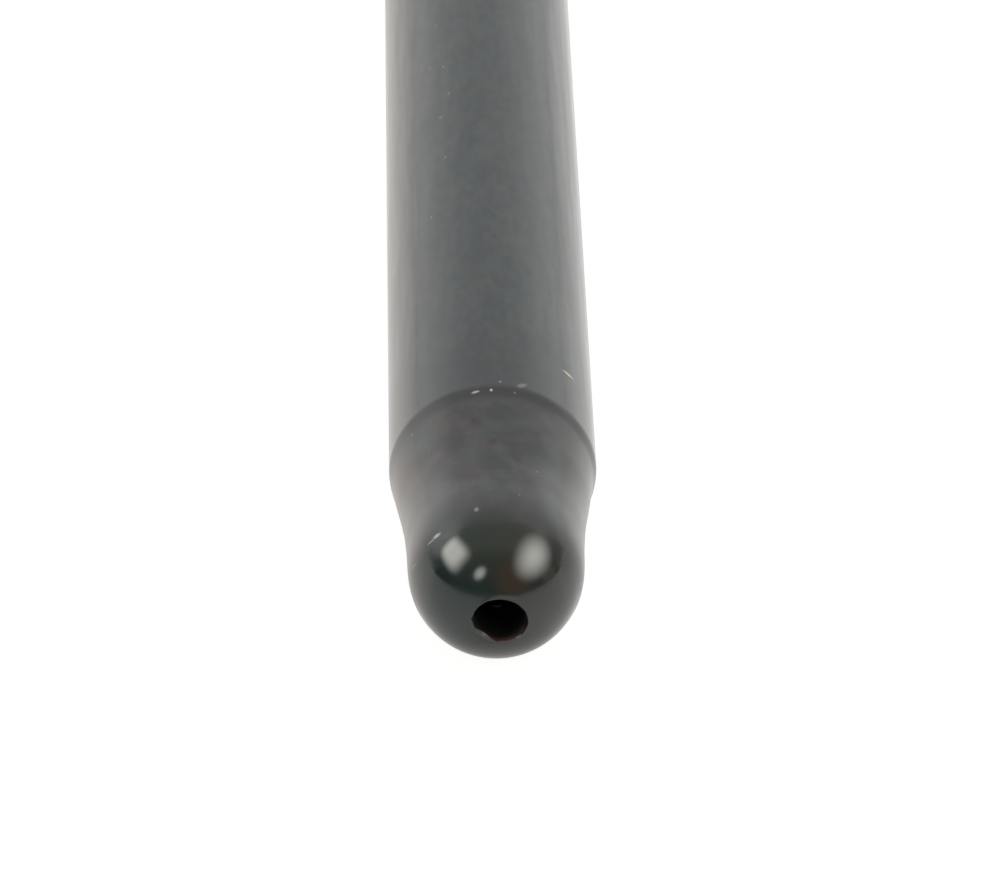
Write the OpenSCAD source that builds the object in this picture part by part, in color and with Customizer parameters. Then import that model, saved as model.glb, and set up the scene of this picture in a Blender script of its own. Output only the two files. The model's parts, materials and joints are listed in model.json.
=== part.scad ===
// Engine pushrod: one steel tube, drawn in at each end and formed to a drilled ball.
// The rod lies along Y. The origin is the centre of the near ball, +Y runs to the far ball, +Z is up.

/* [Tube] */
// Outside diameter of the tube
tube_d = 9.525; // [9:0.025:11]
// Wall thickness of the tube
tube_wall = 2.03; // [1.6:0.01:2.6]
// Length over both balls, as if they had no oil holes
rod_len = 210.3; // [120:0.1:320]

/* [Formed ends] */
// Diameter of the ball
ball_d = 7.9; // [7.2:0.05:8.2]
// From the ring, where the tube starts to draw in, to the ball's centre
draw_len = 7.8; // [6.4:0.1:10]
// Length of the taper, from the ring to its foot
taper_len = 4.12; // [3:0.02:5.4]
// Diameter at the taper's foot, where the land starts
foot_d = 8.25; // [8:0.05:8.8]
// Radius rolled onto the ring
ring_roll = 2; // [1:0.5:8]
// How far the hollow at the taper's foot runs up the taper and along the land
hollow_run = 1.2; // [0.2:0.1:2]
// How far the land's end lies below the ball
land_step = 0.02; // [0.01:0.005:0.06]
// Wall thickness of the drawn-in end
end_wall = 2.25; // [1.8:0.05:2.6]

/* [Oil hole] */
// Diameter of the oil hole in each ball
oil_d = 2.35; // [1.6:0.05:2.8]
// Width of the broken edge at the oil hole's mouth
oil_edge = 0.08; // [0.03:0.01:0.2]

/* [Hidden] */

$fn = 96;
arc_step_deg = 2;
cut_margin = 0.5;

tube_r = tube_d / 2;
bore_r = tube_r - tube_wall;
ball_r = ball_d / 2;
ball_pitch = rod_len - ball_d;

// Outside of the drawn-in end
foot_r = foot_d / 2;
land_len = draw_len - taper_len;
land_end_r = ball_r - land_step;
taper_angle = atan((tube_r - foot_r) / taper_len);
land_angle = atan((foot_r - land_end_r) / land_len);
roll_run = ring_roll * tan(taper_angle / 2);
hollow_r = hollow_run / tan((taper_angle - land_angle) / 2);
roll_centre = [tube_r - ring_roll, draw_len + roll_run];
hollow_start = [foot_r, land_len] + hollow_run * [sin(taper_angle), cos(taper_angle)];
hollow_centre = hollow_start + hollow_r * [cos(taper_angle), -sin(taper_angle)];

// Inside of the drawn-in end
oil_r = oil_d / 2;
mouth_r = oil_r + oil_edge;
mouth_y = sqrt(ball_r * ball_r - mouth_r * mouth_r);
dome_r = ball_r - end_wall;
dome_angle = acos(oil_r / dome_r);
foot_bore_r = foot_r - end_wall;

// Points on an arc, as [radius from the rod's axis, distance along it]
function arc(centre, r, from, to) =
    let (steps = ceil(abs(to - from) / arc_step_deg))
    [
        for (i = [0 : steps])
            let (a = from + (to - from) * i / steps)
            centre + r * [cos(a), sin(a)]
    ];

// One end's points followed by the same points at the other end, in reverse
function both_ends(end) = concat(
    end,
    [for (i = [len(end) - 1 : -1 : 0]) [end[i].x, ball_pitch - end[i].y]]
);

// Half-section of the drawn tube, from inside the ball out to the straight tube
outer_end = concat(
    [[0, 0], [land_end_r, 0]],
    arc(hollow_centre, hollow_r, 180 - land_angle, 180 - taper_angle),
    arc(roll_centre, ring_roll, -taper_angle, 0)
);

// Half-section of the oil passage, from outside the ball in to the tube's bore
passage_end = concat(
    [[0, -mouth_y - cut_margin], [mouth_r + cut_margin, -mouth_y - cut_margin]],
    [[oil_r, -mouth_y + oil_edge]],
    arc([0, 0], dome_r, -dome_angle, 0),
    [[foot_bore_r, land_len], [bore_r, draw_len]]
);

module drawn_tube() {
    rotate_extrude() polygon(both_ends(outer_end));
}

module balls() {
    for (along = [0, ball_pitch])
        translate([0, 0, along]) sphere(r = ball_r);
}

module oil_passage() {
    rotate_extrude() polygon(both_ends(passage_end));
}

module pushrod() {
    color("#5b5f5f")
        rotate([-90, 0, 0])
            difference() {
                union() {
                    drawn_tube();
                    balls();
                }
                oil_passage();
            }
}

pushrod();
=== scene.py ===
"""Looks of the engine pushrod: one formed steel rod with a black oxide finish, under soft studio light."""

import json
import math
from types import SimpleNamespace

import bpy
from mathutils import Matrix, Vector, noise


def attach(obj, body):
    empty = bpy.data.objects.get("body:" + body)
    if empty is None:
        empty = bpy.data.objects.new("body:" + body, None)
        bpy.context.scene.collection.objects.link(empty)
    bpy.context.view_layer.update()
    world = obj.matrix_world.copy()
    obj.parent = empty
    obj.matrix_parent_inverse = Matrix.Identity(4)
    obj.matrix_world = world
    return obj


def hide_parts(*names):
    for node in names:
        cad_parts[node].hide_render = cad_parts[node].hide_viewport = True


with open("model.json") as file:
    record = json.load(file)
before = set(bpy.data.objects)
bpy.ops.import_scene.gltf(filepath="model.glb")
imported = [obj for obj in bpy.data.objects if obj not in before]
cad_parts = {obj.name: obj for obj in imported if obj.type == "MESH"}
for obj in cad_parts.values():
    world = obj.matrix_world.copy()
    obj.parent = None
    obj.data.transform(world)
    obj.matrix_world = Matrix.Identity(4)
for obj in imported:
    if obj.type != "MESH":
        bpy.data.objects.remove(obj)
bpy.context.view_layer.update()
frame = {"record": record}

MM = 0.001
mounts = {mount["name"]: mount for mount in frame["record"]["mounts"]}

# Sizes of the rod in millimetres. Its axis is Y, and the near ball's centre is the origin
TUBE_R = mounts["shank"]["dims"]["r_mm"]
BALL_PITCH = mounts["rocker_ball"]["pos_m"][1] / MM
OIL_R = mounts["lifter_oil_hole"]["dims"]["r_mm"]
MIDDLE = BALL_PITCH / 2
TUBE_WALL = 2.03
BORE_R = TUBE_R - TUBE_WALL
BALL_R = 3.95
DRAW_LEN = 7.8
TAPER_LEN = 4.12
LAND_LEN = DRAW_LEN - TAPER_LEN
FOOT_R = 4.125
TAPER_RISE = (TUBE_R - FOOT_R) / TAPER_LEN
LAND_STEP = 0.02
LAND_END_R = BALL_R - LAND_STEP
LAND_RISE = (FOOT_R - LAND_END_R) / LAND_LEN
RING_ROLL = 2.0
HOLLOW_RUN = 1.2
END_WALL = 2.25
OIL_EDGE = 0.1

# Fineness of the mesh: points round the rod, degrees on an arc, millimetres on a line and points on a curve
AROUND = 216
ARC_STEP_DEG = 0.75
DOME_STEP_DEG = 3.0
LINE_STEP = 0.4
SHOULDER_STEP = 0.1
TUBE_STEP = 8.0
RIM_STEPS = 8
NECK_STEPS = 16

# Where the ball leaves its true form and where it has eased into the land, from the ball's centre
EASE_START = -0.5
EASE_END = 1.6

# The polished cap of the ball: where it starts, from the ball's centre, how deep it is ground, and the
# length over which that begins
CAP_START = -1.45
CAP_DEPTH = 0.004
CAP_BLEND = 0.2

# The small step that the die left under the ring: its depth, how much deeper it is on the right, and
# where it starts, is deepest and has run out, from the ball's centre
SHOULDER = 0.028
SHOULDER_LEAN = 0.8
SHOULDER_TOP = DRAW_LEN - 0.1
SHOULDER_FOOT = DRAW_LEN - 0.8
SHOULDER_END = DRAW_LEN - 3.2

# The near oil hole as it was drilled: a little off the axis and out of round, and how far that reaches
HOLE_OFF_X = 0.11
HOLE_OFF_Z = -0.08
HOLE_OVAL = 0.06
HOLE_OVAL_DEG = -25
HOLE_REACH_DEG = 50
# How far the wear of its rim reaches, how far the rim wavers, and how fast that changes round it
RIM_REACH = 0.22
RIM_WAVER = 0.02
RIM_WAVES = 3
# Nicks in its rim: angle from +X towards +Z, half the width in degrees, and how far the rim gives way
RIM_NICKS = [(175, 8, 0.06), (226, 34, -0.18), (262, 9, 0.08)]


# Section of the rod


def arc(centre, radius, start_deg, end_deg, step_deg=ARC_STEP_DEG):
    """Points on an arc, as (radius from the axis, distance along it)."""
    steps = max(1, math.ceil(abs(end_deg - start_deg) / step_deg))
    points = []
    for i in range(steps + 1):
        angle = math.radians(start_deg + (end_deg - start_deg) * i / steps)
        points.append((centre[0] + radius * math.cos(angle), centre[1] + radius * math.sin(angle)))
    return points


def curve(start, control, end, steps):
    """Points on a curve that leaves start and reaches end in line with the control point."""
    points = []
    for i in range(steps + 1):
        t = i / steps
        weights = ((1 - t) ** 2, 2 * t * (1 - t), t * t)
        corners = (start, control, end)
        points.append(tuple(sum(w * p[k] for w, p in zip(weights, corners)) for k in (0, 1)))
    return points


def line(start, end, step):
    """Points along a straight stretch, without its two ends."""
    count = max(1, round(math.dist(start, end) / step))
    return [
        (start[0] + (end[0] - start[0]) * i / count, start[1] + (end[1] - start[1]) * i / count)
        for i in range(1, count)
    ]


def joined(*stretches):
    """One run of points through several stretches, with straight lines of points between them."""
    points = list(stretches[0])
    for stretch in stretches[1:]:
        points += line(points[-1], stretch[0], LINE_STEP)
        points += stretch
    return points


def smooth(low, high, value):
    """0 at low, 1 at high, and a smooth rise between them."""
    t = min(1.0, max(0.0, (value - low) / (high - low)))
    return t * t * (3 - 2 * t)


def eased_neck():
    """Points where the ball eases into the land, with the slope of each at its own end."""
    start_r = math.sqrt(BALL_R**2 - EASE_START**2)
    start_slope = -EASE_START / start_r
    end_r = LAND_END_R + LAND_RISE * EASE_END
    run = EASE_END - EASE_START
    points = []
    for i in range(1, NECK_STEPS + 1):
        t = i / NECK_STEPS
        blend = smooth(0, 1, t)
        bend = run * t * (1 - t) * (start_slope * (1 - t) - LAND_RISE * t)
        points.append((start_r + (end_r - start_r) * blend + bend, EASE_START + run * t))
    return points


def end_section():
    """Half-section of one end, from the bore's middle out through the oil hole to the tube's middle."""
    taper = math.atan(TAPER_RISE)
    land = math.atan(LAND_RISE)
    taper_deg = math.degrees(taper)
    land_deg = math.degrees(land)
    roll_run = RING_ROLL * math.tan(taper / 2)
    hollow_r = HOLLOW_RUN / math.tan((taper - land) / 2)
    hollow_start = (FOOT_R + HOLLOW_RUN * math.sin(taper), LAND_LEN + HOLLOW_RUN * math.cos(taper))
    hollow_centre = (
        hollow_start[0] + hollow_r * math.cos(taper),
        hollow_start[1] - hollow_r * math.sin(taper),
    )
    mouth_deg = math.degrees(math.asin((OIL_R + OIL_EDGE) / BALL_R))
    ease_deg = math.degrees(math.asin(EASE_START / BALL_R))
    dome_r = BALL_R - END_WALL
    dome_deg = math.degrees(math.acos(OIL_R / dome_r))
    mouth_y = BALL_R * math.cos(math.radians(mouth_deg))
    edge_y = mouth_y + OIL_EDGE * math.tan(math.radians(mouth_deg))

    bore = [(BORE_R, MIDDLE), *line((BORE_R, MIDDLE), (BORE_R, DRAW_LEN), TUBE_STEP), (BORE_R, DRAW_LEN)]
    foot_bore = [(FOOT_R - END_WALL, LAND_LEN)]
    dome = arc((0, 0), dome_r, 0, -dome_deg, DOME_STEP_DEG)
    rim = curve((OIL_R, OIL_EDGE - edge_y), (OIL_R, -edge_y), (OIL_R + OIL_EDGE, -mouth_y), RIM_STEPS)
    ball = arc((0, 0), BALL_R, mouth_deg - 90, ease_deg)[1:]
    hollow = arc(hollow_centre, hollow_r, 180 - land_deg, 180 - taper_deg)
    ring = arc((TUBE_R - RING_ROLL, DRAW_LEN + roll_run), RING_ROLL, -taper_deg, 0)
    tube = [*line(ring[-1], (TUBE_R, MIDDLE), TUBE_STEP), (TUBE_R, MIDDLE)]
    end = joined(bore, foot_bore, dome, rim, ball, eased_neck(), hollow)
    return end + line(hollow[-1], ring[0], SHOULDER_STEP) + ring + tube


def ground_cap(radius, along):
    """A point of the ball, ground back a little where the cap is polished."""
    depth = CAP_DEPTH * smooth(CAP_START + CAP_BLEND / 2, CAP_START - CAP_BLEND / 2, along)
    on_ball = smooth(BALL_R - 2 * OIL_EDGE, BALL_R - OIL_EDGE, math.hypot(radius, along))
    scale = 1 - depth * on_ball / BALL_R
    return radius * scale, along * scale


def shoulder_dip(radius, from_end, angle):
    """How far a point of the outside lies below the plain taper, in the step under the ring."""
    if radius <= BORE_R:
        return 0.0
    step = 1 - smooth(SHOULDER_FOOT, SHOULDER_TOP, from_end)
    fade = smooth(SHOULDER_END, SHOULDER_FOOT, from_end)
    return SHOULDER * (1 + SHOULDER_LEAN * math.sin(angle)) * step * fade


def rim_shift(around_deg):
    """How far the oil hole's rim stands out from a true circle at one place round it."""
    around = math.radians(around_deg)
    shift = HOLE_OVAL * math.cos(2 * (around - math.radians(HOLE_OVAL_DEG)))
    wave = (RIM_WAVES * math.cos(around), RIM_WAVES * math.sin(around), 0.0)
    shift += RIM_WAVER * noise.noise(Vector(wave))
    for middle_deg, half_deg, depth in RIM_NICKS:
        off = abs((around_deg - middle_deg + 180) % 360 - 180)
        shift += depth * (1 - smooth(0, half_deg, off))
    return shift


def drilled(point):
    """A point by the near oil hole, moved to where the drill and the wear left it."""
    out = math.hypot(point.x, point.z)
    polar_deg = math.degrees(math.atan2(out, -point.y))
    share = 1 - smooth(HOLE_REACH_DEG / 2, HOLE_REACH_DEG, polar_deg)
    from_rim = math.hypot(max(0, out - OIL_R), max(0, point.y + BALL_R - RIM_REACH))
    near_rim = 1 - smooth(0, RIM_REACH, from_rim)
    grow = 1 + rim_shift(math.degrees(math.atan2(point.z, point.x))) * near_rim / out
    sideways = Matrix.Rotation(HOLE_OFF_X / BALL_R * share, 4, "Z")
    down = Matrix.Rotation(-HOLE_OFF_Z / BALL_R * share, 4, "X")
    return down @ sideways @ Vector((point.x * grow, point.y, point.z * grow))


def formed_rod():
    """The whole rod as one closed skin: the section of both ends, turned about the axis."""
    end = [ground_cap(radius, along) for radius, along in end_section()]
    section = end + [(radius, BALL_PITCH - along) for radius, along in reversed(end[1:-1])]
    points = []
    for i in range(AROUND):
        angle = 2 * math.pi * i / AROUND
        for radius, along in section:
            out = radius - shoulder_dip(radius, min(along, BALL_PITCH - along), angle)
            point = Vector((out * math.sin(angle), along, out * math.cos(angle)))
            points.append((drilled(point) if along < 0 else point) * MM)
    count = len(section)
    faces = []
    for i in range(AROUND):
        here = i * count
        there = (i + 1) % AROUND * count
        for j in range(count):
            after = (j + 1) % count
            faces.append((here + j, there + j, there + after, here + after))
    mesh = bpy.data.meshes.new("formed_rod")
    mesh.from_pydata(points, [], faces)
    mesh.shade_smooth()
    mesh.validate()
    return bpy.data.objects.new("formed_rod", mesh)


# Nodes


def clear_tree(owner):
    """The node tree of a material, a world or a lamp, emptied."""
    owner.use_nodes = True
    owner.node_tree.nodes.clear()
    return owner.node_tree


def add_node(tree, kind, inputs=None, **settings):
    """Adds a node, sets its settings and fills its inputs with values or links."""
    node = tree.nodes.new("ShaderNode" + kind)
    for name, value in settings.items():
        setattr(node, name, value)
    for key, value in (inputs or {}).items():
        if isinstance(value, bpy.types.NodeSocket):
            tree.links.new(value, node.inputs[key])
        else:
            node.inputs[key].default_value = value
    return node


def calc(tree, operation, *values):
    """One step of arithmetic."""
    return add_node(tree, "Math", dict(enumerate(values)), operation=operation).outputs[0]


def combined(tree, operation, first, second):
    """One step of arithmetic between two vectors."""
    return add_node(tree, "VectorMath", {0: first, 1: second}, operation=operation).outputs[0]


def scaled(tree, vector, factor):
    """A vector or a colour times a number."""
    return add_node(tree, "VectorMath", {0: vector, "Scale": factor}, operation="SCALE").outputs[0]


def measured(tree, operation, *vectors):
    """A number that is worked out from vectors, such as a length."""
    node = add_node(tree, "VectorMath", dict(enumerate(vectors)), operation=operation)
    return node.outputs["Value"]


def rise(tree, value, low, high, floor=0.0, top=1.0):
    """From floor at low to top at high, smoothly."""
    inputs = {"Value": value, "From Min": low, "From Max": high, "To Min": floor, "To Max": top}
    return add_node(tree, "MapRange", inputs, interpolation_type="SMOOTHSTEP").outputs["Result"]


def within(tree, value, low_start, low_end, high_start, high_end):
    """1 between two soft limits, and 0 outside them."""
    over = rise(tree, value, low_start, low_end)
    return calc(tree, "MULTIPLY", over, rise(tree, value, high_end, high_start))


def blend_colour(tree, factor, first, second):
    """From the first colour to the second."""
    return add_node(tree, "Mix", {0: factor, 6: first, 7: second}, data_type="RGBA").outputs[2]


def blend_value(tree, factor, first, second):
    """From the first value to the second."""
    return add_node(tree, "Mix", {0: factor, 2: first, 3: second}, data_type="FLOAT").outputs[0]


def cloudy(tree, where, scale, detail, roughness, squeeze):
    """A noise between 0 and 1. A squeeze along the rod draws its marks out that way."""
    drawn = combined(tree, "MULTIPLY", where, (1.0, squeeze, 1.0))
    inputs = {"Vector": drawn, "Scale": scale, "Detail": detail, "Roughness": roughness}
    return add_node(tree, "TexNoise", inputs).outputs[0]


# Marks on the near end: distance along the rod, angle from the top towards +X, length, width, turn from
# round the rod towards +Y, and how far the mark covers the finish
PALE_MARKS = [
    (-1.11, -44.6, 0.56, 0.24, -3, 0.8),
    (-1.14, -50.5, 0.60, 0.09, -6, 0.7),
    (-1.03, -74.2, 0.70, 0.05, -27, 0.5),
    (7.47, -9.7, 0.46, 0.18, 11, 0.8),
    (7.51, -0.9, 0.17, 0.22, 0, 0.9),
    (8.12, 4.2, 0.20, 0.26, 0, 0.22),
    (8.06, 16.3, 0.75, 0.36, 41, 0.25),
    (7.44, 12.2, 0.14, 0.18, 0, 0.25),
    (-0.66, -13.2, 0.28, 0.36, 0, 0.34),
    (-3.82, -143.0, 0.30, 0.42, 0, 0.10),
    (-3.77, -126.0, 0.20, 0.25, 0, 0.08),
    (0.38, 15.1, 0.12, 0.24, 0, 0.14),
    (2.52, 27.6, 0.14, 0.16, 0, 0.14),
    (6.84, -53.7, 0.20, 0.22, 0, 0.18),
    (5.04, -42.5, 0.14, 0.16, 0, 0.10),
    (4.50, 44.4, 0.14, 0.16, 0, 0.10),
    (41.5, -27.4, 0.18, 0.32, 0, 0.10),
    (38.0, -38.4, 0.34, 0.16, -20, 0.14),
    (37.6, -32.2, 0.26, 0.18, -20, 0.14),
    (37.2, -23.4, 0.14, 0.26, 0, 0.22),
    (34.4, -20.1, 0.15, 0.26, 0, 0.25),
    (32.4, -25.9, 0.17, 0.36, 30, 0.16),
    (28.5, -23.3, 0.13, 0.24, 0, 0.24),
    (23.6, -33.3, 0.11, 0.18, 0, 0.50),
]
GOLD_MARKS = [
    (11.04, 48.0, 0.90, 0.22, 3, 1.0),
]
DARK_MARKS = [
    (5.65, -11.9, 0.32, 0.42, 0, 0.5),
    (4.10, -1.1, 0.40, 0.55, 0, 0.4),
    (3.08, 13.7, 0.60, 0.90, 40, 0.8),
    (2.40, 7.0, 0.90, 0.60, -40, 0.5),
]
# Broad places where the finish is a little paler, and where it is darker
PALER_PATCHES = [
    (5.2, -46.0, 3.0, 4.2, 0, 0.035),
    (1.6, -44.0, 3.0, 3.2, 0, 0.050),
    (1.8, 40.0, 3.0, 3.2, 0, 0.036),
    (3.2, -15.0, 2.2, 3.0, 0, 0.022),
    (6.2, 24.0, 2.0, 1.5, 0, 0.018),
    (-0.95, 26.0, 2.4, 1.9, 0, 0.020),
]
DARKER_PATCHES = [
    (6.3, 54.0, 2.6, 3.4, 0, 0.65),
    (3.6, 22.0, 2.4, 2.4, 0, 0.30),
    (4.3, 55.0, 2.6, 3.0, 0, 0.80),
]
# How far marks and patches reach in and out from the surface, and where a mark ends and covers in full, as
# shares of the way from its middle to its edge
MARK_DEPTH = 0.3
PATCH_DEPTH = 2.0
MARK_EDGE = (1.1, 0.3)


def outside(along):
    """The rod's outside radius and slope at a distance along the near end."""
    if along > DRAW_LEN:
        return TUBE_R, 0.0
    if along > LAND_LEN:
        return FOOT_R + TAPER_RISE * (along - LAND_LEN), TAPER_RISE
    if along > 0:
        return LAND_END_R + LAND_RISE * along, LAND_RISE
    radius = math.sqrt(BALL_R**2 - along**2)
    return radius, -along / radius


def mark_mask(tree, where, mark, depth):
    """How much of one mark covers a point: all at its middle, and nothing past its edge."""
    along, around_deg, length, width, turn_deg, cover = mark
    radius, slope = outside(along)
    around = math.radians(around_deg)
    out = Vector((math.sin(around), -slope, math.cos(around))).normalized()
    across = Vector((math.cos(around), 0.0, -math.sin(around)))
    up = out.cross(across)
    axes = Matrix((across, up, out)).transposed() @ Matrix.Rotation(math.radians(turn_deg), 3, "Z")
    inputs = {
        "Vector": where,
        "Location": (radius * math.sin(around), along, radius * math.cos(around)),
        "Rotation": axes.to_euler(),
        "Scale": (length / 2, width / 2, depth),
    }
    local = add_node(tree, "Mapping", inputs, vector_type="TEXTURE").outputs[0]
    return rise(tree, measured(tree, "LENGTH", local), *MARK_EDGE, 0.0, cover)


def marks_mask(tree, where, marks, depth):
    """All marks of one kind together."""
    total = mark_mask(tree, where, marks[0], depth)
    for mark in marks[1:]:
        total = calc(tree, "MAXIMUM", total, mark_mask(tree, where, mark, depth))
    return total


# Finish of the steel


# Its noises: scale per millimetre, detail, roughness, and squeeze along the rod
NOISES = {
    "mottle": (0.45, 5.0, 0.60, 1.0),
    "patch": (0.90, 2.0, 0.45, 1.0),
    "blotch": (0.55, 2.0, 0.50, 1.0),
    "grain": (9.00, 3.0, 0.60, 1.0),
    "streak": (1.60, 5.0, 0.55, 0.03),
    "speckle": (2.60, 3.0, 0.55, 0.50),
    "waves": (0.55, 2.0, 0.50, 0.15),
}
# The part of a noise's range that is used, from low to high
NOISE_SPAN = (0.30, 0.70)
MOTTLE_SPAN = (0.35, 0.65)
BLOTCH_SPAN = (0.38, 0.62)
PATCH_SPAN = (0.32, 0.68)

# Its zones along the rod, from the ball's centre: where each starts and where it is full, and for a band
# also where it starts to end and has ended
ZONE_EDGE = 0.15
CAP_ZONE = (CAP_START + ZONE_EDGE, CAP_START - ZONE_EDGE)
BALL_ZONE = (1.2, CAP_START)
FORMED_ZONE = (DRAW_LEN + ZONE_EDGE, DRAW_LEN - ZONE_EDGE)
RING_LINE = (DRAW_LEN - 0.1, DRAW_LEN + 0.1)
UNDER_RING = (DRAW_LEN - 1.2, DRAW_LEN - 0.3, *RING_LINE)
# Painted shade: a band on the tube over the ring, darker where the tube's reflection dims towards the ring
SHADE_OVER_RING = (*RING_LINE, DRAW_LEN + 0.8, DRAW_LEN + 5.2)
# How far those limits waver
ZONE_WAVER = 0.18
# The oil hole by the distance from its own axis, and the worn part of its mouth along the rod, below that
# axis and, where the steel is bare, beside it
HOLE_ZONE = (OIL_R + 0.06, OIL_R + 0.01)
MOUTH_ALONG = (0.6 - BALL_R, 0.4 - BALL_R)
MOUTH_BELOW = (-0.3, -0.8)
MOUTH_BARE = (-0.35, -0.75)

# Colours, as pairs where a noise blends them, and how much each noise shades them
TUBE_TINTS = ((0.0155, 0.0225, 0.0250, 1), (0.0225, 0.0255, 0.0270, 1))
TUBE_SHADE = (0.72, 1.28)
FORMED_TINTS = ((0.0205, 0.0262, 0.0265, 1), (0.0325, 0.0278, 0.0295, 1))
FORMED_SHADE = (0.69, 1.31)
UNDER_RING_COLOUR = (0.010, 0.0112, 0.0115, 1)
UNDER_RING_COVER = 0.85
# Painted shade on the tube over the ring, and how far it covers the finish
SHADE_OVER_RING_COLOUR = (0.010, 0.013, 0.014, 1)
SHADE_OVER_RING_COVER = 0.5
# The cap's colours at its left and right, where they turn along X, how far that wavers, and how far they
# also cover the ball behind the cap
CAP_TINTS = ((0.006, 0.0135, 0.013, 1), (0.011, 0.013, 0.0115, 1))
CAP_TURN = (-2.2, 1.8)
CAP_TURN_WAVER = 1.8
BALL_COVER = 0.72
# The oil hole, near black for its oil and soot and as painted shade deep inside it, and the worn edge of
# its mouth, then the marks and patches
HOLE_SOOT_AND_SHADE_COLOUR = (0.002, 0.002, 0.002, 1)
RUST_COLOUR = (0.040, 0.017, 0.015, 1)
BARE_COLOUR = (0.030, 0.030, 0.029, 1)
DARK_COLOUR = (0.006, 0.008, 0.008, 1)
PALER_PATCH_COLOUR = (0.36, 0.36, 0.36, 1)
PALE_COLOUR = (0.36, 0.36, 0.34, 1)
GOLD_COLOUR = (0.50, 0.40, 0.28, 1)

# Roughness, as pairs where a noise blends it
TUBE_ROUGH = (0.15, 0.19)
FORMED_ROUGH = (0.235, 0.265)
CAP_ROUGH = (0.10, 0.12)
BALL_ROUGH = 0.25
HOLE_ROUGH = 0.5
SCAR_ROUGH = 0.5

# Relief: the fine marks' height in millimetres, the shares of the grain and the scars in it, how far the
# drawn skin of the tube wavers, and where along the rod that starts and is full
FINE_RELIEF = 0.0008
GRAIN_SHARE = 0.5
SCAR_SHARE = 6.0
TUBE_WAVES = 0.080
WAVES_ZONE = (DRAW_LEN + 0.2, DRAW_LEN + 6.2)

# Index of refraction, which sets how strongly the finish mirrors
STEEL_IOR = 1.6


def steel_place(tree):
    """Where a point of the rod lies, in millimetres, from its own end and from that end's oil hole."""
    where = scaled(tree, add_node(tree, "TexCoord").outputs["Object"], 1 / MM)
    split = add_node(tree, "SeparateXYZ", {0: where})
    from_middle = calc(tree, "ABSOLUTE", calc(tree, "SUBTRACT", split.outputs["Y"], MIDDLE))
    near = calc(tree, "LESS_THAN", split.outputs["Y"], MIDDLE)
    beside = calc(tree, "SUBTRACT", split.outputs["X"], calc(tree, "MULTIPLY", near, HOLE_OFF_X))
    above = calc(tree, "SUBTRACT", split.outputs["Z"], calc(tree, "MULTIPLY", near, HOLE_OFF_Z))
    flat = add_node(tree, "CombineXYZ", {0: beside, 1: above}).outputs[0]
    return SimpleNamespace(
        where=where,
        x=split.outputs["X"],
        along=calc(tree, "SUBTRACT", MIDDLE, from_middle),
        beside=beside,
        above=above,
        from_hole=measured(tree, "LENGTH", flat),
    )


def steel_zones(tree, place, uneven):
    """How far a point lies in each zone of the finish."""
    along = calc(tree, "ADD", place.along, calc(tree, "MULTIPLY", uneven, ZONE_WAVER))
    at_end = calc(tree, "LESS_THAN", place.along, 0.0)
    return SimpleNamespace(
        formed=rise(tree, along, *FORMED_ZONE),
        under_ring=within(tree, along, *UNDER_RING),
        shade_over_ring=within(tree, along, *SHADE_OVER_RING),
        ball=rise(tree, along, *BALL_ZONE),
        cap=rise(tree, along, *CAP_ZONE),
        hole=calc(tree, "MULTIPLY", rise(tree, place.from_hole, *HOLE_ZONE), at_end),
    )


def steel_marks(tree, where):
    """How far each kind of mark covers a point."""
    marks = SimpleNamespace(
        pale=marks_mask(tree, where, PALE_MARKS, MARK_DEPTH),
        gold=marks_mask(tree, where, GOLD_MARKS, MARK_DEPTH),
        dark=marks_mask(tree, where, DARK_MARKS, MARK_DEPTH),
        paler_patches=marks_mask(tree, where, PALER_PATCHES, PATCH_DEPTH),
        darker_patches=marks_mask(tree, where, DARKER_PATCHES, PATCH_DEPTH),
    )
    marks.scars = calc(tree, "MAXIMUM", marks.pale, marks.gold)
    return marks


def hole_colour(tree, place):
    """Black in the oil hole, for oil and soot and as painted shade deep inside it, with rust and bare steel
    at the lower edge of its mouth.
    """
    at_mouth = rise(tree, place.along, *MOUTH_ALONG)
    below = calc(tree, "MULTIPLY", at_mouth, rise(tree, place.above, *MOUTH_BELOW))
    edge = blend_colour(tree, rise(tree, place.beside, *MOUTH_BARE), RUST_COLOUR, BARE_COLOUR)
    return blend_colour(tree, below, HOLE_SOOT_AND_SHADE_COLOUR, edge)


def steel_colour(tree, place, noises, uneven, zones, marks):
    """Colour of the finish: tube and formed end, then ring with painted shade on the tube over it, ball,
    cap and hole, then the marks.
    """
    tube = blend_colour(tree, rise(tree, noises["mottle"], *MOTTLE_SPAN), *TUBE_TINTS)
    tube = scaled(tree, tube, rise(tree, noises["speckle"], *NOISE_SPAN, *TUBE_SHADE))
    formed = blend_colour(tree, rise(tree, noises["blotch"], *BLOTCH_SPAN), *FORMED_TINTS)
    formed = scaled(tree, formed, rise(tree, noises["patch"], *PATCH_SPAN, *FORMED_SHADE))
    to_right = calc(tree, "ADD", place.x, calc(tree, "MULTIPLY", uneven, CAP_TURN_WAVER))
    cap = blend_colour(tree, rise(tree, to_right, *CAP_TURN), *CAP_TINTS)
    layers = (
        (zones.formed, formed),
        (calc(tree, "MULTIPLY", zones.under_ring, UNDER_RING_COVER), UNDER_RING_COLOUR),
        # Painted shade on the tube over the ring
        (calc(tree, "MULTIPLY", zones.shade_over_ring, SHADE_OVER_RING_COVER), SHADE_OVER_RING_COLOUR),
        (calc(tree, "MULTIPLY", zones.ball, BALL_COVER), cap),
        (zones.cap, cap),
        (zones.hole, hole_colour(tree, place)),
        (calc(tree, "MAXIMUM", marks.dark, marks.darker_patches), DARK_COLOUR),
        (marks.paler_patches, PALER_PATCH_COLOUR),
        (marks.pale, PALE_COLOUR),
        (marks.gold, GOLD_COLOUR),
    )
    colour = tube
    for cover, layer in layers:
        colour = blend_colour(tree, cover, colour, layer)
    return colour


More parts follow.
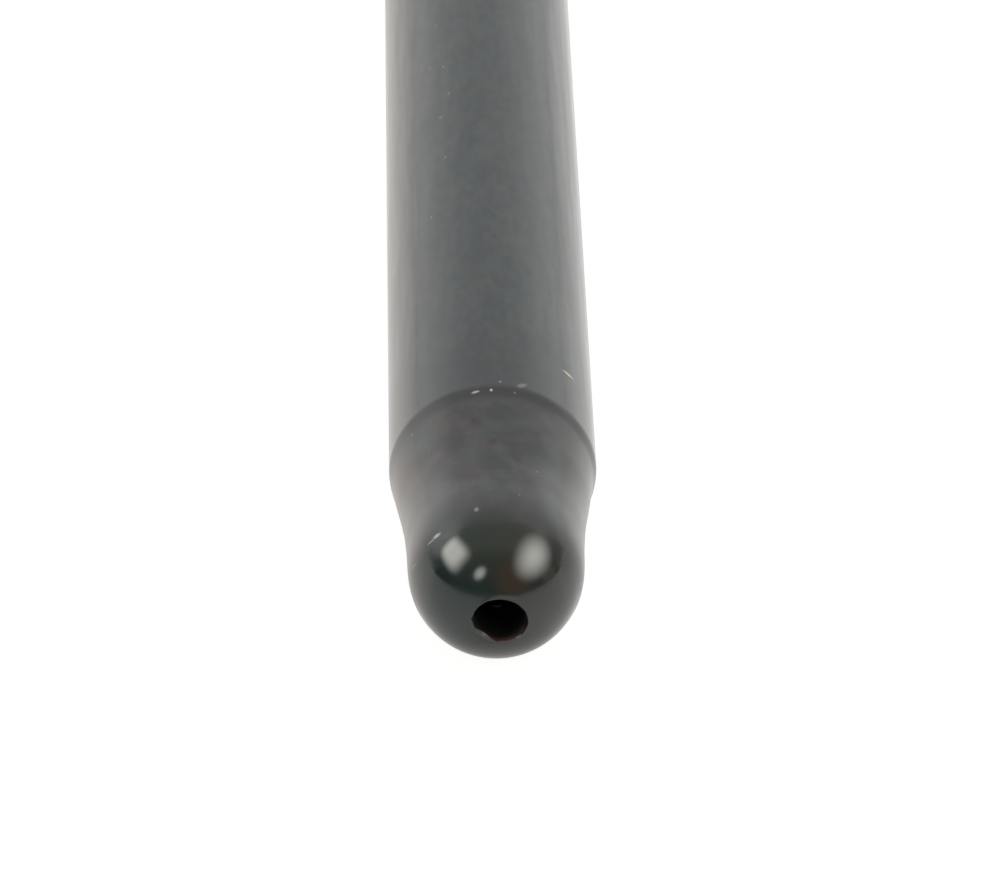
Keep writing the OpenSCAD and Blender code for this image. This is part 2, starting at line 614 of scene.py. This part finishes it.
def steel_roughness(tree, noises, zones, marks):
    """Roughness of the finish, zone by zone."""
    layers = (
        (zones.formed, rise(tree, noises["blotch"], *NOISE_SPAN, *FORMED_ROUGH)),
        (zones.ball, BALL_ROUGH),
        (zones.cap, rise(tree, noises["grain"], *NOISE_SPAN, *CAP_ROUGH)),
        (zones.hole, HOLE_ROUGH),
        (marks.scars, SCAR_ROUGH),
    )
    rough = rise(tree, noises["streak"], *NOISE_SPAN, *TUBE_ROUGH)
    for cover, layer in layers:
        rough = blend_value(tree, cover, rough, layer)
    return rough


def steel_relief(tree, place, noises, zones, marks):
    """Bumps: fine drawing marks and grain off the ball, scars, and the waver of the tube's skin."""
    height = calc(tree, "ADD", noises["streak"], calc(tree, "MULTIPLY", noises["grain"], GRAIN_SHARE))
    height = calc(tree, "MULTIPLY", height, calc(tree, "SUBTRACT", 1.0, zones.ball))
    height = calc(tree, "ADD", height, calc(tree, "MULTIPLY", marks.scars, SCAR_SHARE))
    inputs = {"Strength": 1.0, "Distance": FINE_RELIEF * MM, "Height": height}
    fine = add_node(tree, "Bump", inputs).outputs[0]
    waves = calc(tree, "MULTIPLY", noises["waves"], rise(tree, place.along, *WAVES_ZONE))
    inputs = {"Strength": 1.0, "Distance": TUBE_WAVES * MM, "Height": waves, "Normal": fine}
    return add_node(tree, "Bump", inputs).outputs[0]


def oxide_steel():
    """Black oxide: satin and drawn on the tube, matte on the taper, polished on the cap of the ball."""
    material = bpy.data.materials.new("black_oxide_steel")
    tree = clear_tree(material)
    place = steel_place(tree)
    noises = {name: cloudy(tree, place.where, *look) for name, look in NOISES.items()}
    uneven = calc(tree, "SUBTRACT", noises["patch"], 0.5)
    zones = steel_zones(tree, place, uneven)
    marks = steel_marks(tree, place.where)
    inputs = {
        "Base Color": steel_colour(tree, place, noises, uneven, zones, marks),
        "Roughness": steel_roughness(tree, noises, zones, marks),
        "Normal": steel_relief(tree, place, noises, zones, marks),
        "IOR": STEEL_IOR,
    }
    shader = add_node(tree, "BsdfPrincipled", inputs)
    add_node(tree, "OutputMaterial", {"Surface": shader.outputs[0]})
    return material


# Floor


# Half its width in metres. Other places on it are in millimetres from the ball's centre
FLOOR_HALF = 8.0
# Its own light as the camera sees it, and as the steel sees it in front of the ball and beside the rod
FLOOR_SEEN = 0.82
FLOOR_FRONT = 0.08
FLOOR_BACK = 0.56
# Where one turns to the other along Y, how much more there is at the right front, and where that turns
FLOOR_TURN = (-6.0, 4.0)
FLOOR_RIGHT = 0.16
RIGHT_TURN = (-8.0, 8.0)
# Its tint on the left, and where that turns along X
FLOOR_WARM = (1.0, 0.90, 0.86, 1)
WARM_TURN = (2.0, -6.0)
# How the floor in front fades in the steel: what is left far away, and the distance at which half has gone
FLOOR_FAR = 0.40
FLOOR_FADE = 90.0
# How it fades away from the rod: where that starts, how soon half of it has gone, and what is left far away
# on the left and on the right, beside the ball and behind it
SIDE_START = 9.0
SIDE_FADE = 12.0
BESIDE_FAR = (0.76, 0.60)
BEHIND_FAR = (0.86, 0.78)
# Where, as Y over sideways distance, the front ends and beside turns to behind, and the least sideways
# distance that is used
FRONT_ENDS = (-0.1, 0.12)
BEHIND_STARTS = (0.5, 1.1)
LEAST_ASIDE = 1.0
# Shadow under the ball in the steel: its middle, its reach and what it leaves
NOSE_SHADOW = (0.0, -3.0)
NOSE_REACH = (1.0, 7.0)
NOSE_LEFT = 0.74
# White of the paper for the light that falls on it, for the camera and for the steel
PAPER = (0.8, 0.8, 0.8, 1)
PAPER_SEEN = (0.3, 0.3, 0.3, 1)
PAPER_MIRRORED = (0.685, 0.697, 0.722)
WHITE = (1, 1, 1, 1)


def floor_fade(tree, where, x, y):
    """How much of the floor is left in the steel: less far ahead, far beside the rod and under the ball."""
    ahead = calc(tree, "MAXIMUM", calc(tree, "MULTIPLY", y, -1 / FLOOR_FADE), 0.0)
    fade = calc(tree, "DIVIDE", 1 - FLOOR_FAR, calc(tree, "ADD", ahead, 1.0))
    fade = calc(tree, "ADD", fade, FLOOR_FAR)

    aside = calc(tree, "ABSOLUTE", x)
    past = calc(tree, "MAXIMUM", calc(tree, "SUBTRACT", aside, SIDE_START), 0.0)
    past = calc(tree, "MULTIPLY", past, 1 / SIDE_FADE)
    gone = calc(tree, "DIVIDE", past, calc(tree, "ADD", past, 1.0))
    bearing = calc(tree, "DIVIDE", y, calc(tree, "MAXIMUM", aside, LEAST_ASIDE))
    lost = [
        rise(tree, x, -SIDE_START, SIDE_START, 1 - left, 1 - right)
        for left, right in (BESIDE_FAR, BEHIND_FAR)
    ]
    most = blend_value(tree, rise(tree, bearing, *BEHIND_STARTS), *lost)
    most = calc(tree, "MULTIPLY", most, rise(tree, bearing, *FRONT_ENDS))
    fade = calc(tree, "MULTIPLY", fade, calc(tree, "SUBTRACT", 1.0, calc(tree, "MULTIPLY", most, gone)))

    from_nose = measured(tree, "DISTANCE", where, (*NOSE_SHADOW, -TUBE_R))
    return calc(tree, "MULTIPLY", fade, rise(tree, from_nose, *NOSE_REACH, NOSE_LEFT, 1.0))


def floor_paper():
    """White paper. The camera and the steel see it as white, with the rod's faint shadow."""
    material = bpy.data.materials.new("white_floor")
    tree = clear_tree(material)
    path = add_node(tree, "LightPath")
    mirrored = calc(tree, "MAXIMUM", path.outputs["Is Glossy Ray"], path.outputs["Is Transmission Ray"])
    where = scaled(tree, add_node(tree, "TexCoord").outputs["Object"], 1 / MM)
    split = add_node(tree, "SeparateXYZ", {0: where})
    x = split.outputs["X"]
    y = split.outputs["Y"]
    fade = floor_fade(tree, where, x, y)
    front = rise(tree, x, *RIGHT_TURN, FLOOR_FRONT, FLOOR_FRONT + FLOOR_RIGHT)
    strength = blend_value(tree, rise(tree, y, *FLOOR_TURN), front, FLOOR_BACK)
    light_mirrored = {
        "Color": blend_colour(tree, rise(tree, x, *WARM_TURN), WHITE, FLOOR_WARM),
        "Strength": calc(tree, "MULTIPLY", strength, fade),
    }
    looks = (
        (mirrored, scaled(tree, PAPER_MIRRORED, fade), light_mirrored),
        (path.outputs["Is Camera Ray"], PAPER_SEEN, {"Strength": FLOOR_SEEN}),
    )
    surface = add_node(tree, "BsdfDiffuse", {"Color": PAPER}).outputs[0]
    for ray, paper, light in looks:
        shaded = add_node(tree, "BsdfDiffuse", {"Color": paper})
        glow = add_node(tree, "Emission", light)
        white = add_node(tree, "AddShader", {0: shaded.outputs[0], 1: glow.outputs[0]})
        surface = add_node(tree, "MixShader", {0: ray, 1: surface, 2: white.outputs[0]}).outputs[0]
    add_node(tree, "OutputMaterial", {"Surface": surface})
    return material


def white_floor():
    """A wide white floor, on which the rod lies."""
    level = -TUBE_R * MM
    corners = [
        (-FLOOR_HALF, -FLOOR_HALF, level),
        (FLOOR_HALF, -FLOOR_HALF, level),
        (FLOOR_HALF, FLOOR_HALF, level),
        (-FLOOR_HALF, FLOOR_HALF, level),
    ]
    mesh = bpy.data.meshes.new("floor")
    mesh.from_pydata(corners, [], [(0, 1, 2, 3)])
    mesh.materials.append(floor_paper())
    return bpy.data.objects.new("floor", mesh)


# Room


# Its light, by the angle up from the far horizon, over the top, to the horizon behind the camera
ROOM = [
    (0, (1.27, 1.26, 1.25)),
    (10, (1.22, 1.22, 1.21)),
    (18, (1.16, 1.16, 1.16)),
    (25, (1.08, 1.08, 1.08)),
    (29, (0.94, 0.95, 0.96)),
    (34, (0.83, 0.84, 0.85)),
    (42, (0.85, 0.85, 0.86)),
    (52, (0.81, 0.82, 0.82)),
    (62, (0.79, 0.79, 0.775)),
    (76, (0.68, 0.67, 0.62)),
    (90, (0.59, 0.575, 0.505)),
    (110, (0.58, 0.56, 0.46)),
    (130, (0.32, 0.29, 0.23)),
    (150, (0.20, 0.195, 0.175)),
    (168, (0.14, 0.155, 0.15)),
    (174, (0.16, 0.175, 0.17)),
    (180, (0.34, 0.36, 0.36)),
]
# Dimmer walls at the far left and right, by how far sideways they lie
SIDE_DIM = (0.80, 0.97)
SIDE_LIGHT = 0.5
# Patches of wall: direction from the rod, light, and the cosine at which a patch starts and is full. The
# first lies behind the left lamp, the second is warm and in front, and the third is low at the right
WALLS = (
    ((-0.82, 0.33, 0.46), (1.5, 1.48, 1.45), (0.90, 0.99)),
    ((0.36, -0.84, 0.42), (0.44, 0.25, 0.155), (0.84, 0.98)),
    ((0.95, -0.29, 0.08), (0.46, 0.44, 0.40), (0.965, 0.995)),
)
# White sweep low behind the rod: the height at which it has ended and is full, where it starts and is full
# along Y, and its light
HORIZON_RISE = (0.11, 0.0)
HORIZON_START = (-0.1, 0.3)
HORIZON_LIGHT = (1.11, 1.11, 1.11)


def studio_room():
    """The room that the rod reflects: a white sweep behind it, a dimmer ceiling and a dark front."""
    world = bpy.data.worlds.new("studio")
    tree = clear_tree(world)
    place = add_node(tree, "TexCoord").outputs["Generated"]
    split = add_node(tree, "SeparateXYZ", {0: place})
    angle = calc(tree, "ARCTAN2", split.outputs["Z"], split.outputs["Y"])
    ramp = add_node(tree, "ValToRGB", {"Fac": calc(tree, "DIVIDE", angle, math.pi)})
    stops = ramp.color_ramp.elements
    while len(stops) < len(ROOM):
        stops.new(0.5)
    for stop, (degrees, light) in zip(stops, ROOM):
        stop.position = degrees / 180
        stop.color = (*light, 1)
    sideways = calc(tree, "ABSOLUTE", split.outputs["X"])
    colour = scaled(tree, ramp.outputs[0], rise(tree, sideways, *SIDE_DIM, 1.0, SIDE_LIGHT))
    for direction, light, reach in WALLS:
        facing = measured(tree, "DOT_PRODUCT", place, Vector(direction).normalized())
        colour = blend_colour(tree, rise(tree, facing, *reach), colour, (*light, 1))
    near_horizon = rise(tree, split.outputs["Z"], *HORIZON_RISE)
    sweep = calc(tree, "MULTIPLY", near_horizon, rise(tree, split.outputs["Y"], *HORIZON_START))
    colour = blend_colour(tree, sweep, colour, (*HORIZON_LIGHT, 1))
    seen = add_node(tree, "LightPath").outputs["Is Camera Ray"]
    colour = blend_colour(tree, seen, colour, WHITE)
    background = add_node(tree, "Background", {"Color": colour})
    add_node(tree, "OutputWorld", {"Surface": background.outputs[0]})
    bpy.context.scene.world = world


# Lamps


LAMP_DISTANCE = 0.9
LAMP_COLOUR = (1.0, 1.0, 0.94)
# Direction from the rod, width and height in metres, outline, corner (2 for round light, more for squarer),
# radiance, the share of the way out at which the light starts to fade, turn about that direction, and
# swing to the side
LAMPS = [
    {
        "name": "left_softbox",
        "direction": (-0.834, -0.126, 0.538),
        "size": (0.87, 0.64),
        "shape": "RECTANGLE",
        "corner": 3.5,
        "radiance": 6.2,
        "fade_start": 0.33,
        "turn_deg": 3.0,
        "swing_deg": 30.0,
    },
    {
        "name": "right_softbox",
        "direction": (0.742, -0.358, 0.567),
        "size": (1.38, 0.96),
        "shape": "ELLIPSE",
        "corner": 2.0,
        "radiance": 6.2,
        "fade_start": 0.0,
        "turn_deg": 9.0,
        "swing_deg": 0.0,
    },
    {
        "name": "front_lamp",
        "direction": (-0.379, -0.789, 0.485),
        "size": (0.29, 0.42),
        "shape": "ELLIPSE",
        "corner": 2.0,
        "radiance": 4.5,
        "fade_start": 0.2,
        "turn_deg": -27.0,
        "swing_deg": 0.0,
    },
]


def soft_lamp(name, direction, size, shape, corner, radiance, fade_start, turn_deg, swing_deg):
    """A lamp that fades towards its edge, seen from the rod in the given direction."""
    width, height = size
    lamp = bpy.data.lights.new(name, "AREA")
    lamp.shape = shape
    lamp.size = width
    lamp.size_y = height
    lamp.color = LAMP_COLOUR
    area = width * height * (math.pi / 4 if shape == "ELLIPSE" else 1)
    lamp.energy = radiance * math.pi * area

    tree = clear_tree(lamp)
    # The place on the lamp runs from 0 to 1 each way
    place = add_node(tree, "NewGeometry").outputs["Parametric"]
    from_middle = combined(tree, "SUBTRACT", place, (0.5, 0.5, 0.0))
    split = add_node(tree, "SeparateXYZ", {0: from_middle})
    shares = [calc(tree, "MULTIPLY", calc(tree, "ABSOLUTE", split.outputs[axis]), 2.0) for axis in "XY"]
    out = calc(tree, "ADD", *(calc(tree, "POWER", share, corner) for share in shares))
    out = calc(tree, "POWER", out, 1 / corner)
    emission = add_node(tree, "Emission", {"Strength": rise(tree, out, 1.0, fade_start)})
    add_node(tree, "OutputLight", {"Surface": emission.outputs[0]})

    item = bpy.data.objects.new(name, lamp)
    away = Vector(direction).normalized()
    item.location = away * LAMP_DISTANCE
    item.rotation_mode = "QUATERNION"
    swing = Matrix.Rotation(math.radians(swing_deg), 4, "Y").to_quaternion()
    turn = Matrix.Rotation(math.radians(turn_deg), 4, "Z").to_quaternion()
    item.rotation_quaternion = away.to_track_quat("Z", "Y") @ turn @ swing
    item.visible_camera = False
    return item


# Camera


# Its place and what it looks at, in millimetres, and its lens
CAMERA_AT = (-4.193, -208.192, 147.605)
CAMERA_AIM = (0.334, 10.141, 0.0)
CAMERA_LENS = 205.62
CAMERA_SENSOR = 36.0


def photo_camera():
    """The camera at the photograph's viewing angle."""
    data = bpy.data.cameras.new("camera")
    data.lens = CAMERA_LENS
    data.sensor_width = CAMERA_SENSOR
    camera = bpy.data.objects.new("camera", data)
    at = Vector(CAMERA_AT) * MM
    camera.location = at
    camera.rotation_mode = "QUATERNION"
    camera.rotation_quaternion = (Vector(CAMERA_AIM) * MM - at).to_track_quat("-Z", "Y")
    return camera


# The scene

scene = bpy.context.scene
scene.view_settings.view_transform = "Standard"
add = scene.collection.objects.link

rod = formed_rod()
rod.data.materials.append(oxide_steel())
add(rod)
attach(rod, "root")
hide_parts("pushrod")

floor = white_floor()
add(floor)
studio_room()
for lamp in LAMPS:
    add(soft_lamp(**lamp))

camera = photo_camera()
add(camera)
scene.camera = camera

bpy.context.view_layer.update()
